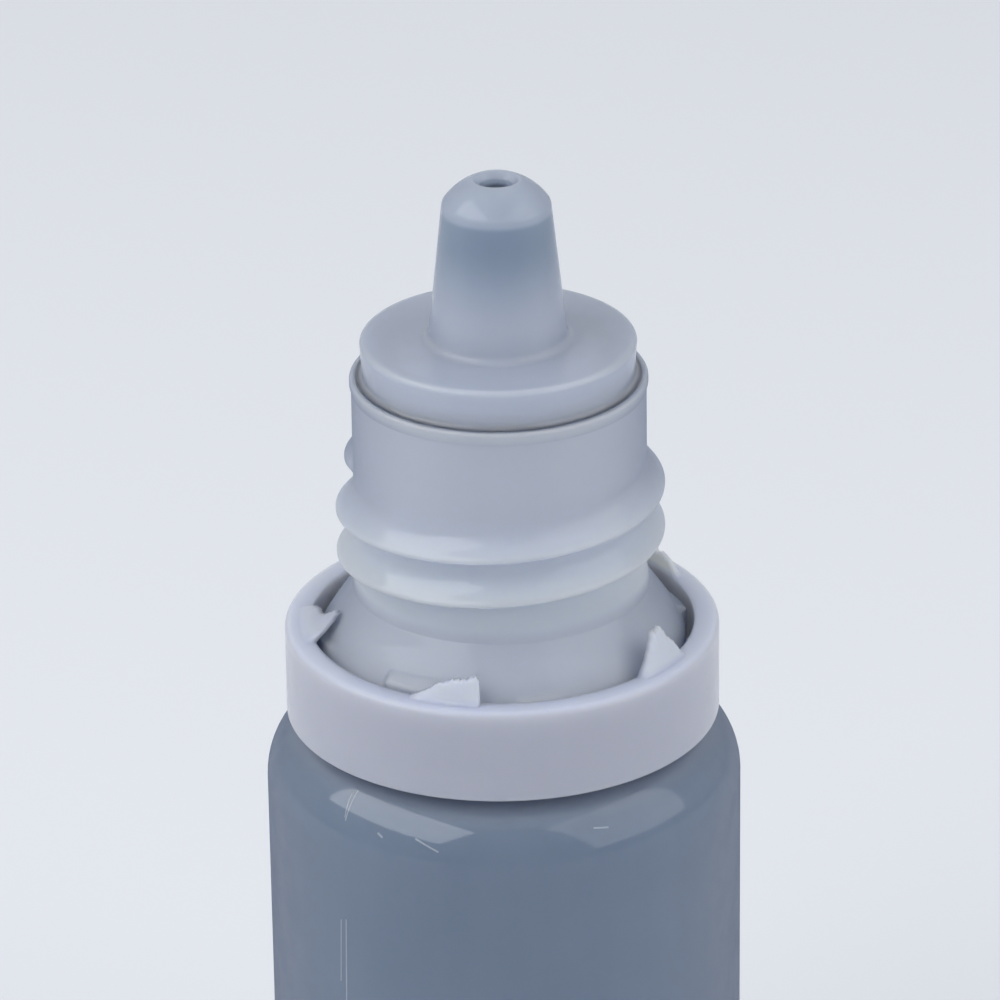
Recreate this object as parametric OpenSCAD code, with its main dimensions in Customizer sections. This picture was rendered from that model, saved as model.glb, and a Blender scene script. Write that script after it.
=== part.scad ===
// Eye drop bottle: a squeezable bottle with a threaded neck, a snap-in dropper insert with
// a domed nozzle, and the tamper ring that stays on the neck after the cap is first opened.
// Millimetres, +Z up. The origin is the middle of the bottle's foot.

/* [Body] */
// Outer diameter of the round body
body_d = 22; // [21.5:0.5:30]
// Height of the shoulder's flat top above the foot
shoulder_z = 35.4; // [24:0.2:60]
// Thickness of the blown wall
body_wall = 0.8; // [0.5:0.1:1.2]
// Outer radius of the shoulder's round
shoulder_round = 3.1; // [2:0.1:3.5]
// Outer radius of the round at the foot
foot_round = 1.6; // [1.3:0.1:3]
// Width of the flat ring that the bottle stands on
foot_land_w = 1.3; // [0.8:0.1:3]
// Height of the pushed-up middle of the foot
push_up_h = 0.9; // [0.3:0.1:2]

/* [Neck] */
// Outer diameter of the neck's smooth wall
neck_d = 13.4; // [12.8:0.1:14.2]
// Diameter of the bore that takes the dropper insert
neck_bore_d = 11.3; // [10.2:0.1:11.5]
// Height of the neck's rim above the shoulder
neck_h = 16.94; // [15.5:0.1:22]
// How far the rolled lip at the rim stands out from the neck
lip_out = 0.08; // [0.05:0.01:0.2]
// Height of the rolled lip at the rim
lip_h = 0.6; // [0.6:0.1:1.6]

/* [Thread] */
// How far the thread's crest stands out from the neck
thread_depth = 0.84; // [0.6:0.02:1]
// Rise of the thread in one turn
thread_pitch = 2.15; // [2:0.05:2.4]
// Length of the thread in turns
thread_turns = 2.18; // [1.5:0.01:2.4]
// Drop from the neck's rim to the crest where the thread ends
thread_drop = 4.25; // [3:0.05:5]
// Direction in which the thread ends, counted round from +X
thread_end_angle = 186; // [0:1:360]

/* [Retaining bead] */
// Diameter of the bead that holds the tamper ring on
bead_d = 16.9; // [16.4:0.1:17.6]
// Height of the bead's straight side
bead_h = 1; // [0.6:0.1:1.5]
// Height of the rounded slope from the bead up to the neck
flare_h = 2.55; // [2:0.05:3]
// Diameter of the groove under the bead
groove_d = 15.2; // [14.8:0.1:15.6]
// Height of the groove above the shoulder
groove_h = 2.8; // [2.4:0.1:3.4]
// Number of small ratchet teeth round the bead
tooth_count = 8; // [4:1:12]
// Length of a ratchet tooth along the bead
tooth_l = 2.6; // [1.5:0.1:3]
// How far a ratchet tooth stands out from the bead
tooth_out = 0.15; // [0.1:0.01:0.2]
// How far a ratchet tooth reaches above the bead's straight side
tooth_up = 0.6; // [0.3:0.05:0.8]
// Direction of the first tooth's steep end, counted round from +X
tooth_angle = 230; // [0:1:360]

/* [Tamper ring] */
// Thickness of the ring's wall
ring_wall = 1.16; // [0.9:0.02:1.5]
// Height of the ring
ring_h = 4.43; // [4:0.01:5]
// Radius of the ring's rounded outer top edge
ring_edge_round = 0.31; // [0.1:0.01:0.5]
// Height of the snap lip inside the ring
snap_lip_h = 1.2; // [0.8:0.05:1.6]
// Thickness of the torn bridges that stand on the ring
stub_t = 0.5; // [0.35:0.05:0.7]
// Inward lean of the torn bridges that still stand, in degrees
stub_lean = 13; // [5:1:15]
// Direction of the first torn bridge, counted round from +X
stub_angle = 181; // [0:1:360]

/* [Dropper insert] */
// Diameter of the flange's top edge
flange_d = 12.56; // [12:0.02:13]
// Height of the flange
flange_h = 1.82; // [1.2:0.02:2.4]
// How much smaller the flange's underside is on the radius
flange_taper = 0.08; // [0.05:0.01:0.25]
// Length of the plug inside the neck
plug_l = 5; // [3.5:0.1:6]
// Thickness of the plug's wall
plug_wall = 0.85; // [0.6:0.05:1.2]
// How far the plug's two sealing ribs stand out from it
plug_rib_out = 0.14; // [0.08:0.01:0.2]
// Diameter of the nozzle where it meets the flange
nozzle_base_d = 6.24; // [5.6:0.02:7]
// Diameter of the nozzle at the edge of its dome
nozzle_tip_d = 4.92; // [4.4:0.02:5.4]
// Height of the nozzle's cone above the flange
nozzle_h = 6.54; // [5:0.02:9]
// Height of the dome on the nozzle
dome_h = 1.33; // [0.9:0.01:1.8]
// Thickness of the nozzle's wall
nozzle_wall = 0.75; // [0.5:0.05:0.95]
// Diameter of the drop channel
channel_d = 0.7; // [0.4:0.05:1]
// Diameter of the mouth that the drop hangs from
mouth_d = 1.46; // [1.2:0.02:1.8]

/* [Clearances] */
// Radial gap between the plug's ribs and the neck's bore
plug_gap = 0.04; // [0.02:0.01:0.08]
// Radial gap between the tamper ring and what it turns round
ring_gap = 0.4; // [0.35:0.05:0.45]
// Height of the tamper ring's underside above the shoulder
ring_seat_gap = 0.26; // [0.2:0.02:0.4]

/* [Hidden] */
$fn = 96;

body_r = body_d / 2;
neck_r = neck_d / 2;
bore_r = neck_bore_d / 2;
bead_r = bead_d / 2;
groove_r = groove_d / 2;
flange_r = flange_d / 2;

rim_z = shoulder_z + neck_h;
groove_top_z = shoulder_z + groove_h;
bead_bottom_slope = 0.25;
bead_top_z = groove_top_z + bead_bottom_slope + bead_h;
flare_top_z = bead_top_z + flare_h;
flare_power = 1.1;

// The inside of the blown bottle follows the outside, one wall in
throat_r = groove_r - body_wall - 0.1;
throat_top_z = groove_top_z;
bore_bottom_z = flare_top_z - 0.5;
floor_t = 1;

lip_round = 0.16;
rim_round = 0.15;

thread_end_z = rim_z - thread_drop;
thread_start_z = thread_end_z - thread_turns * thread_pitch;
thread_start_angle = thread_end_angle - 360 * thread_turns;
thread_root_sink = 0.45;
thread_crest_w = 0.14;
thread_lower_w = 0.34;
thread_upper_w = 1.35;
thread_fade_in = 36;
thread_fade_out = 42;
thread_step = 6;

ring_in_r = bead_r + ring_gap;
ring_out_r = ring_in_r + ring_wall;
ring_bottom_z = shoulder_z + ring_seat_gap;
ring_top_z = ring_bottom_z + ring_h;
ring_in_edge = 0.15;
snap_lip_r = groove_r + ring_gap;
snap_lip_top_z = groove_top_z - ring_gap;
snap_lip_slope = 0.5;
stub_root_h = 0.6;

// The first torn bridge is folded over the slope of the bead, just clear of it
fold_drop = 0.15;
folded_lean = atan((ring_in_r - neck_r) / (flare_top_z - fold_drop - ring_top_z));
stub_leans = [folded_lean, stub_lean, stub_lean, stub_lean, stub_lean];

// Each torn bridge: place along the ring in millimetres and height above the ring
stub_outlines = [
    [[-1.6, 0], [-1.1, 0.24], [-0.4, 0.44], [0.4, 0.52], [0.95, 0.7], [1.35, 1.04], [1.62, 1.08],
     [1.95, 0.84], [2.2, 0.46], [2.3, 0]],
    [[-1.7, 0], [-1.15, 0.28], [-0.7, 0.52], [-0.42, 0.76], [0, 0.88], [0.3, 1.02], [1.05, 1.08],
     [1.2, 1.2], [1.42, 1.2], [1.56, 1.04], [1.6, 0]],
    [[-1.82, 0], [-1.37, 0.46], [-0.8, 1.26], [-0.56, 1.78], [-0.43, 1.6], [-0.26, 1.72],
     [0.03, 1.8], [0.2, 1.56], [0.34, 1.22], [0.8, 0.84], [1.07, 0.44], [1.37, 0]],
    [[-1.9, 0], [-1.5, 0.8], [-0.9, 1], [-0.5, 0.85], [0.2, 1.5], [0.9, 1.1], [1.3, 0.4], [1.8, 0]],
    [[-2.1, 0], [-1.7, 0.5], [-0.8, 0.6], [0.1, 1.2], [0.6, 0.9], [1.2, 1.3], [1.6, 0.7], [1.9, 0]]
];

flange_top_z = rim_z + flange_h;
plug_rib_r = bore_r - plug_gap;
plug_r = plug_rib_r - plug_rib_out;
plug_in_r = plug_r - plug_wall;
plug_bottom_z = rim_z - plug_l;
plug_lead = 0.5;
plug_rib_h = 0.5;
plug_rib_zs = [rim_z - 0.3 * plug_l, rim_z - 0.7 * plug_l];
flange_web_t = 1.1;
web_z = flange_top_z - flange_web_t;
flange_edge = 0.25;
flange_foot_round = 0.25;
flange_foot_r = flange_r - flange_taper;
nozzle_fillet = 0.4;
cone_top_z = flange_top_z + nozzle_h;
tip_z = cone_top_z + dome_h;
tip_r = nozzle_tip_d / 2;
dome_r = (tip_r * tip_r + dome_h * dome_h) / (2 * dome_h);
dome_centre_z = tip_z - dome_r;
hollow_top_r = tip_r - nozzle_wall;
hollow_base_r = nozzle_base_d / 2 - nozzle_wall;
hollow_top_z = cone_top_z - 1.2;
hollow_dome_h = 0.9;
channel_r = channel_d / 2;
mouth_r = mouth_d / 2;
// A narrow sunk lip leads from the dome into the mouth, a round recess over the drop channel
mouth_lip_w = 0.3;
mouth_lip_drop = 0.28;
mouth_lip_r = mouth_r + mouth_lip_w;
mouth_z = dome_centre_z + sqrt(dome_r * dome_r - mouth_lip_r * mouth_lip_r) - mouth_lip_drop;
mouth_depth = 0.45;

// Points of an arc round (x, y), from angle a to angle b in n steps
function arc(x, y, r, a, b, n = 8) =
    [for (i = [0:n]) [x + r * cos(a + (b - a) * i / n), y + r * sin(a + (b - a) * i / n)]];

// The rounded slope from the bead, at s = 0, up to the neck, at s = 1: a quarter superellipse
function flare_point(s) =
    [neck_r + (bead_r - neck_r) * pow(cos(90 * s), 2 / flare_power),
     bead_top_z + flare_h * pow(sin(90 * s), 2 / flare_power)];

// The pushed-up middle of the foot, a shallow parabola out to the standing ring
land_in_r = body_r - foot_round - foot_land_w;
function push_up(lift, n = 6) =
    [for (i = [0:n]) [land_in_r * i / n, lift + push_up_h * (1 - pow(i / n, 2))]];

outer_outline = concat(
    push_up(0),
    arc(body_r - foot_round, foot_round, foot_round, -90, 0),
    arc(body_r - shoulder_round, shoulder_z - shoulder_round, shoulder_round, 0, 90, 10),
    [[groove_r, shoulder_z], [groove_r, groove_top_z], [bead_r, groove_top_z + bead_bottom_slope]],
    [for (i = [0:8]) flare_point(i / 8)],
    [[neck_r, rim_z - lip_h]],
    arc(neck_r + lip_out - lip_round, rim_z - lip_h + lip_round + 0.1, lip_round, -20, 0, 2),
    arc(neck_r + lip_out - lip_round, rim_z - lip_round, lip_round, 0, 90, 4)
);

in_shoulder = shoulder_round - body_wall;
in_foot = foot_round - body_wall / 2;
inner_outline = concat(
    [[bore_r + rim_round, rim_z], [bore_r, rim_z - rim_round], [bore_r, bore_bottom_z]],
    [[throat_r, throat_top_z], [throat_r, shoulder_z - body_wall]],
    arc(body_r - shoulder_round, shoulder_z - shoulder_round, in_shoulder, 90, 0, 10),
    arc(body_r - body_wall - in_foot, floor_t + in_foot, in_foot, 0, -90),
    [for (i = [6:-1:0]) push_up(floor_t)[i]]
);

// One cross-section of the thread at a height factor k: a short lower flank and a long
// hollow upper flank, with its foot sunk in the neck's wall. Each point is [radius, height].
function thread_section(k) =
    let (out = neck_r - 0.12 + (thread_depth + 0.12) * k,
         rise = out - neck_r,
         foot = neck_r - thread_root_sink,
         half = thread_crest_w / 2)
    [[foot, -half - thread_lower_w],
     [neck_r - 0.15, -half - thread_lower_w],
     [neck_r + rise * 0.75, -half - thread_lower_w * 0.25],
     [out, -half * 0.4],
     [out, half],
     [neck_r + rise * 0.62, half + thread_upper_w * 0.22],
     [neck_r + rise * 0.22, half + thread_upper_w * 0.6],
     [neck_r - 0.15, half + thread_upper_w],
     [foot, half + thread_upper_w]];

function thread_height(turned) =
    sqrt(max(0, min(1, turned / thread_fade_in, (360 * thread_turns - turned) / thread_fade_out)));

module thread() {
    steps = ceil(360 * thread_turns / thread_step);
    n = len(thread_section(1));
    points = [
        for (i = [0:steps])
            let (turned = 360 * thread_turns * i / steps,
                 a = thread_start_angle + turned,
                 z = thread_start_z + thread_pitch * turned / 360)
            for (p = thread_section(thread_height(turned)))
                [p[0] * cos(a), p[0] * sin(a), z + p[1]]
    ];
    sides = [
        for (i = [0:steps - 1])
            for (j = [0:n - 1])
                let (a = i * n + j, b = i * n + (j + 1) % n)
                    each [[a, b + n, a + n], [a, b, b + n]]
    ];
    first_cap = [[for (j = [n - 1:-1:0]) j]];
    last_cap = [[for (j = [0:n - 1]) steps * n + j]];
    polyhedron(points = points, faces = concat(sides, first_cap, last_cap), convexity = 6);
}

// A wedge on the bead: steep at its first end, running out to nothing at the other
module ratchet_tooth() {
    tooth_r = bead_r + tooth_out;
    span = tooth_l / bead_r * 180 / PI;
    translate([0, 0, groove_top_z + bead_bottom_slope])
        linear_extrude(bead_h + tooth_up)
            polygon(concat(
                [for (i = [0:4]) let (a = span * i / 4, r = tooth_r - (tooth_out + 0.3) * i / 4)
                    [r * cos(a), r * sin(a)]],
                [[(bead_r - 0.9) * cos(span), (bead_r - 0.9) * sin(span)], [bead_r - 0.9, 0]]
            ));
}

module bottle() {
    color([0.72, 0.78, 0.84])
        union() {
            rotate_extrude()
                polygon(concat(outer_outline, inner_outline));
            thread();
            for (i = [0:tooth_count - 1])
                rotate([0, 0, tooth_angle + 360 * i / tooth_count])
                    ratchet_tooth();
        }
}

// A torn bridge: its ragged outline, cut from a thin ring that leans inwards
module torn_bridge(outline, lean_angle) {
    reach = ring_out_r;
    top = max([for (p = outline) p[1]]);
    lean = tan(lean_angle);
    low_r = ring_in_r + lean * stub_root_h;
    high_r = ring_in_r - lean * top;
    intersection() {
        rotate_extrude()
            polygon([[low_r, ring_top_z - stub_root_h], [low_r + stub_t, ring_top_z - stub_root_h],
                     [high_r + stub_t, ring_top_z + top], [high_r, ring_top_z + top]]);
        translate([0, 0, ring_top_z])
            rotate([90, 0, 90])
                linear_extrude(reach)
                    polygon(concat([[outline[0][0], -stub_root_h / 2]], outline,
                                   [[outline[len(outline) - 1][0], -stub_root_h / 2]]));
    }
}

module tamper_ring() {
    color([0.88, 0.88, 0.95])
        union() {
            rotate_extrude()
                polygon(concat(
                    [[ring_in_r, ring_bottom_z], [ring_out_r - 0.1, ring_bottom_z],
                     [ring_out_r, ring_bottom_z + 0.1]],
                    arc(ring_out_r - ring_edge_round, ring_top_z - ring_edge_round,
                        ring_edge_round, 0, 90, 5),
                    [[ring_in_r + ring_in_edge, ring_top_z], [ring_in_r, ring_top_z - ring_in_edge]],
                    [[ring_in_r, snap_lip_top_z], [snap_lip_r, snap_lip_top_z],
                     [snap_lip_r, snap_lip_top_z - snap_lip_h + snap_lip_slope],
                     [ring_in_r, snap_lip_top_z - snap_lip_h]]
                ));
            for (i = [0:len(stub_outlines) - 1])
                rotate([0, 0, stub_angle + 360 * i / len(stub_outlines)])
                    torn_bridge(stub_outlines[i], stub_leans[i]);
        }
}

module dropper_insert() {
    tip_angle = acos(tip_r / dome_r);
    mouth_angle = acos(mouth_lip_r / dome_r);
    color([0.8, 0.84, 0.88])
        rotate_extrude()
            polygon(concat(
                // Outside, from the plug's end up to the drop mouth
                [[plug_in_r, plug_bottom_z], [plug_r - plug_lead / 2, plug_bottom_z],
                 [plug_r, plug_bottom_z + plug_lead]],
                [for (z = [plug_rib_zs[1], plug_rib_zs[0]])
                    each [[plug_r, z - plug_rib_h], [plug_rib_r, z - plug_rib_h / 4],
                          [plug_rib_r, z + plug_rib_h / 4], [plug_r, z + plug_rib_h]]],
                [[plug_r, rim_z]],
                arc(flange_foot_r + flange_foot_round, rim_z + flange_foot_round,
                    flange_foot_round, -90, -180, 4),
                [[flange_r, flange_top_z - flange_edge], [flange_r - flange_edge, flange_top_z]],
                arc(nozzle_base_d / 2 + nozzle_fillet, flange_top_z + nozzle_fillet,
                    nozzle_fillet, -90, -174, 5),
                arc(0, dome_centre_z, dome_r, tip_angle, mouth_angle, 10),
                // Inside, from the drop mouth down to the plug's end
                [[mouth_r, mouth_z], [mouth_r, mouth_z - mouth_depth],
                 [channel_r, mouth_z - mouth_depth], [channel_r, hollow_top_z + hollow_dome_h]],
                [for (i = [1:5]) [channel_r + (hollow_top_r - channel_r) * sin(18 * i),
                                  hollow_top_z + hollow_dome_h * cos(18 * i)]],
                [[hollow_base_r, web_z], [plug_in_r - 0.4, web_z], [plug_in_r, web_z - 0.4]]
            ));
}

bottle();
tamper_ring();
dropper_insert();
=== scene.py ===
import math

import bpy
import numpy as np
from mathutils import Matrix, Vector


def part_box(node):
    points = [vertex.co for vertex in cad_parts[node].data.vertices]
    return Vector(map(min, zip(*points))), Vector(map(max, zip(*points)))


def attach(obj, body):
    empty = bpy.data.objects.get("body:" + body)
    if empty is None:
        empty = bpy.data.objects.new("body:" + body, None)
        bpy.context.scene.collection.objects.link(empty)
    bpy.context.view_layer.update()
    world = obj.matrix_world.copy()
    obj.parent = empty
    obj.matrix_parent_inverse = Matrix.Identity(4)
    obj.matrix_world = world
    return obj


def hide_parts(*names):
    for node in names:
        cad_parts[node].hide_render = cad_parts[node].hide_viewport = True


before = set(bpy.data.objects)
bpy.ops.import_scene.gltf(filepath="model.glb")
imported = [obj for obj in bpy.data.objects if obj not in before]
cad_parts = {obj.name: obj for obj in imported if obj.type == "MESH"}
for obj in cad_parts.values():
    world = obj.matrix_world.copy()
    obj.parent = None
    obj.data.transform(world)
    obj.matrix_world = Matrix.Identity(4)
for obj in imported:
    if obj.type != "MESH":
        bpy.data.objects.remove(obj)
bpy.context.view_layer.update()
mm = 0.001

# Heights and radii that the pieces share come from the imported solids, in millimetres
footZ, rimZ = (corner.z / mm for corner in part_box("bottle"))
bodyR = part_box("bottle")[1].x / mm
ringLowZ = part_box("tamper_ring")[0].z / mm
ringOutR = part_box("tamper_ring")[1].x / mm
plugLowZ, tipZ = (corner.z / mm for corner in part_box("dropper_insert"))
print("frame loaded: bottle %.1f mm tall to the rim, %.1f mm to the nozzle" % (rimZ, tipZ))


# Shapes: every piece is a closed outline of (radius, height) points in mm, turned round the axis

samePoint = 1e-5                # points of an outline that lie nearer than this, in mm, are one
onTheAxis = 1e-6                # a row with no larger radius than this, in mm, is a pole


def arc(cx, cz, r, a0, a1, n):
    # n points: the centre plus r x (cosine, sine) of even angles from a0 to a1, in degrees
    a = np.radians(np.linspace(a0, a1, n))
    return np.stack([cx + r * np.cos(a), cz + r * np.sin(a)], 1)


def line(r0, z0, r1, z1, n):
    # n points: start x (1 - t) + end x t in even steps of t up to 1, the start left out
    t = np.linspace(0, 1, n + 1)[1:, None]
    return np.array([[r0, z0]]) * (1 - t) + np.array([[r1, z1]]) * t


def through(start, *stretches):
    # Joins stretches end to end. A (radius, height, count) is a line to that point in count
    # steps, and a point that lies on the one before it is dropped.
    points = [np.array([start], float)]
    for s in stretches:
        last = points[-1][-1]
        points.append(line(*last, s[0], s[1], s[2]) if isinstance(s, tuple) else np.asarray(s))
    joined = np.concatenate(points)
    keep = np.r_[True, np.hypot(*np.diff(joined, axis=0).T) > samePoint]
    return joined[keep]


def smoothStep(x):
    # x squared x (3 - 2 x), with x held between 0 and 1
    x = np.clip(x, 0, 1)
    return x * x * (3 - 2 * x)


def softLesser(a, b, width):
    # The lesser of a and b. Where they differ by less than width, they are mixed by the share h
    # of their difference, less width x h x (1 - h), which rounds the corner off.
    h = np.clip(0.5 + 0.5 * (b - a) / width, 0, 1)
    return b * (1 - h) + a * h - width * h * (1 - h)


def evenTurn(n):
    # n angles, a full turn / n apart
    return np.linspace(0, 2 * math.pi, n, endpoint=False)


def allRound(outline, angles):
    # the outline's radius and height as two grids: a row for each point, a column for each angle
    return [np.repeat(outline[:, k:k + 1], len(angles), 1) for k in (0, 1)]


def turned(name, radius, height, angles):
    # Surface of revolution: point (i, j) is (radius x cosine, radius x sine, height) of outline
    # point i at angle j. Four neighbours make a face. A row on the axis is one point, and an
    # outline without both ends on the axis closes on itself.
    rows, cols = radius.shape
    grid = np.stack([radius * np.cos(angles), radius * np.sin(angles), height], 2)
    pole = radius.max(1) < onTheAxis
    index = np.arange(rows * cols).reshape(rows, cols)
    index[pole] = index[pole][:, :1]
    beside = np.roll(index, -1, 1)
    if pole[0] and pole[-1]:
        corners = [index[:-1], beside[:-1], beside[1:], index[1:]]
    else:
        corners = [index, beside, np.roll(beside, -1, 0), np.roll(index, -1, 0)]
    quads = np.stack(corners, 2).reshape(-1, 4)
    lowPole = quads[:, 0] == quads[:, 1]
    thin = lowPole | (quads[:, 2] == quads[:, 3])
    tris = np.where(lowPole[:, None], quads[:, [0, 2, 3]], quads[:, [0, 1, 2]])
    used = np.unique(quads)
    newIndex = np.zeros(rows * cols, int)
    newIndex[used] = np.arange(len(used))
    faces = newIndex[quads[~thin]].tolist() + newIndex[tris[thin]].tolist()
    mesh = bpy.data.meshes.new(name)
    mesh.from_pydata((grid.reshape(-1, 3)[used] * mm).tolist(), [], faces)
    mesh.polygons.foreach_set("use_smooth", np.ones(len(mesh.polygons), bool))
    mesh.update()
    piece = bpy.data.objects.new(name, mesh)
    bpy.context.scene.collection.objects.link(piece)
    return piece


# All sizes are in mm and all angles in degrees, unless a note says otherwise
bottleSizes = {
    "wall": 0.8,
    "shoulderDrop": 16.94,      # rim to the shoulder's flat top
    "shoulderRound": 3.1,
    "footRound": 1.6,
    "footLand": 1.3,            # width of the flat ring that the bottle stands on
    "pushUp": 0.9,
    "floor": 1.0,
    "neckR": 6.7,
    "boreR": 5.65,
    "boreStop": 0.5,            # the bore's lower end, under the top of the flare
    "rimRound": 0.15,
    "lipOut": 0.08,
    "lipH": 0.6,
    "lipRise": (0.1, 0.28),     # heights over the lip's start at which it is half and fully out
    "lipRound": 0.16,
    "grooveR": 7.6,
    "grooveH": 2.8,
    "grooveRound": 0.15,
    "throatIn": 0.1,            # how much thicker than the wall the groove's wall is
    "beadR": 8.45,
    "beadSlope": 0.25,
    "beadCut": (0.08, 0.04, 0.06),      # the bead's lower edge: inwards, down and up from it
    "beadH": 1.0,
    "flareH": 2.55,
    "flarePower": 1.1,
    "flareBlend": 0.6,          # width of the soft corner between the flare and the neck
    "columns": 216,
}
threadSizes = {
    "depth": 0.84,
    "pitch": 2.15,
    "turns": 2.18,
    "drop": 4.25,               # rim to the crest where the thread ends
    "endAngle": 186,
    "crest": 0.14,
    "lower": 0.34,
    "upper": 1.35,
    "full": 1.12,               # the flanks' height in depths, before they are cut at 1
    "soft": 0.25,               # how softly they are cut
    "fadeIn": 36,
    "fadeOut": 42,
}
toothSizes = {
    "count": 8,
    "length": 2.6,
    "out": 0.15,
    "up": 0.6,                  # over the straight side of the bead
    "angle": 230,
    "seenLength": 4.4,          # the first tooth, which shows inside the ring
    "seenUp": 1.0,
    "clear": 0.12,              # gap between that tooth and a bridge folded over it
    "foot": 0.05,               # how far the teeth reach down into the bead's slope
    "steep": 0.06,              # share of the length in which a tooth rises
    "topRound": 0.15,
}


def threadRise(angle, z):
    # Height of the thread over the neck's wall at an angle and height. With off the height over
    # the helical crest, its section is the softened lesser of 1 and its flank: a short steep one
    # below and a long hollow one above, (1 - off / upper) squared. Both ends fade out as the
    # root of the share of their fade.
    t = threadSizes
    endZ = rimZ - t["drop"]
    total = 360 * t["turns"]
    rise = np.zeros(np.broadcast(angle, z).shape)
    first = np.mod(np.degrees(angle) - (t["endAngle"] - total), 360)
    for turn in range(math.ceil(t["turns"])):
        along = first + 360 * turn
        fade = np.minimum(along / t["fadeIn"], (total - along) / t["fadeOut"])
        fade = np.sqrt(np.clip(fade, 0, 1))
        off = z - (endZ - t["pitch"] * (total - along) / 360)
        lower = smoothStep((off + t["crest"] / 2 + t["lower"]) / t["lower"])
        upper = np.clip(1 - off / t["upper"], 0, 1) ** 2
        flank = t["full"] * np.where(off < 0, lower, upper)
        section = np.clip(softLesser(1.0, flank, t["soft"]), 0, None)
        rise = np.maximum(rise, np.where(along <= total, fade * section, 0) * t["depth"])
    return rise


def toothRise(angle, z, beadTopZ):
    # Share of a ratchet tooth's full height: steep at the first end and then 1 - the share of its
    # length. The first tooth is longer and higher, and its share is twice that, held at 1.
    t = toothSizes
    pitch = 2 * math.pi / t["count"]
    turn = np.mod(angle - math.radians(t["angle"]), 2 * math.pi)
    seen = turn < pitch
    span = np.where(seen, t["seenLength"], t["length"]) / bottleSizes["beadR"]
    along = np.mod(turn, pitch) / span
    wedge = np.clip(np.where(seen, 2, 1) * (1 - along), 0, 1) * np.clip(along / t["steep"], 0, 1)
    topZ = beadTopZ + np.where(seen, t["seenUp"], t["up"])
    return wedge * smoothStep((topZ - z) / t["topRound"])


def makeBottle():
    # The outline runs from the foot's middle up the outside, over the rim and down the inside.
    # The push-up falls by the square of the radius' share, and the flare is a superellipse:
    # cosine and sine of a quarter turn to the power 2 / flarePower.
    s = bottleSizes
    shoulderZ = rimZ - s["shoulderDrop"]
    grooveZ = shoulderZ + s["grooveH"]
    beadZ = grooveZ + s["beadSlope"]
    beadTopZ = beadZ + s["beadH"]
    flareTopZ = beadTopZ + s["flareH"]
    lipZ = rimZ - s["lipH"]
    halfOutZ, fullOutZ = (lipZ + rise for rise in s["lipRise"])
    cutIn, cutDown, cutUp = s["beadCut"]
    neckR, boreR, grooveR, beadR = (s[k] for k in ("neckR", "boreR", "grooveR", "beadR"))
    lipR = s["lipRound"]
    share = np.linspace(0, 1, 15)
    dish = np.stack([(bodyR - s["footRound"] - s["footLand"]) * share,
                     footZ + s["pushUp"] * (1 - share ** 2)], 1)
    quarter = np.radians(np.linspace(0, 90, 25))
    flare = np.stack([neckR + (beadR - neckR) * np.cos(quarter) ** (2 / s["flarePower"]),
                      beadTopZ + s["flareH"] * np.sin(quarter) ** (2 / s["flarePower"])], 1)
    roundR, roundZ = bodyR - s["shoulderRound"], shoulderZ - s["shoulderRound"]
    inFoot = s["footRound"] - s["wall"] / 2
    inFloorZ = footZ + s["floor"] + inFoot
    throatR = grooveR - s["wall"] - s["throatIn"]
    outline = through(
        (0, footZ + s["pushUp"]), dish,
        (bodyR - s["footRound"], footZ, 4),
        arc(bodyR - s["footRound"], footZ + s["footRound"], s["footRound"], -90, 0, 11),
        (bodyR, roundZ, 26),
        arc(roundR, roundZ, s["shoulderRound"], 0, 90, 19),
        (grooveR + s["grooveRound"], shoulderZ, 2), (grooveR, shoulderZ + s["grooveRound"], 1),
        (grooveR, grooveZ, 8), (beadR - cutIn, beadZ - cutDown, 3), (beadR, beadZ + cutUp, 1),
        (beadR, beadTopZ, 6), flare,
        (neckR, lipZ, 240),
        (neckR + s["lipOut"] / 2, halfOutZ, 2), (neckR + s["lipOut"], fullOutZ, 3),
        arc(neckR + s["lipOut"] - lipR, rimZ - lipR, lipR, 0, 90, 8),
        (boreR + s["rimRound"], rimZ, 4), (boreR, rimZ - s["rimRound"], 2),
        (boreR, flareTopZ - s["boreStop"], 14), (throatR, grooveZ, 8),
        (throatR, shoulderZ - s["wall"], 4),
        arc(roundR, roundZ, s["shoulderRound"] - s["wall"], 90, 0, 12),
        (bodyR - s["wall"], inFloorZ, 12),
        arc(bodyR - s["wall"] - inFoot, inFloorZ, inFoot, 0, -90, 7),
        (dish + [0, s["floor"]])[::-2],
    )
    angles = evenTurn(s["columns"])
    r, z = allRound(outline, angles)
    outside = np.arange(len(outline))[:, None] < np.argmax(outline[:, 1])
    onNeck = outside & (z > flareTopZ) & (z < lipZ)
    r = np.where(onNeck, r + threadRise(angles[None], z), r)
    # The corner where the flare meets the neck is filled softly: a quarter of
    # width x (1 - distance / width) squared, with distance how far one radius is over the other
    slope = (beadR - neckR) / s["flareH"]
    near = np.clip(1 - np.abs(flareTopZ - z) * slope / s["flareBlend"], 0, 1)
    r = r + (outside & (z > beadTopZ)) * s["flareBlend"] / 4 * near ** 2
    # A tooth leans inwards as the folded bridge over it does, so that the bridge passes clear
    tooth = toothRise(angles[None], z, beadTopZ)
    foldSlope = math.tan(math.radians(ringSizes["stubLeans"][0]))
    foldR = (ringOutR - ringSizes["wall"] - toothSizes["clear"]
             - foldSlope * (z - ringLowZ - ringSizes["height"]))
    toothR = np.minimum(beadR + toothSizes["out"], foldR)
    onTooth = outside & (z > beadZ - toothSizes["foot"]) & (tooth > 0)
    r = np.where(onTooth, np.maximum(r, r + (toothR - r) * tooth), r)
    return turned("bottleShell", r, z, angles)


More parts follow.
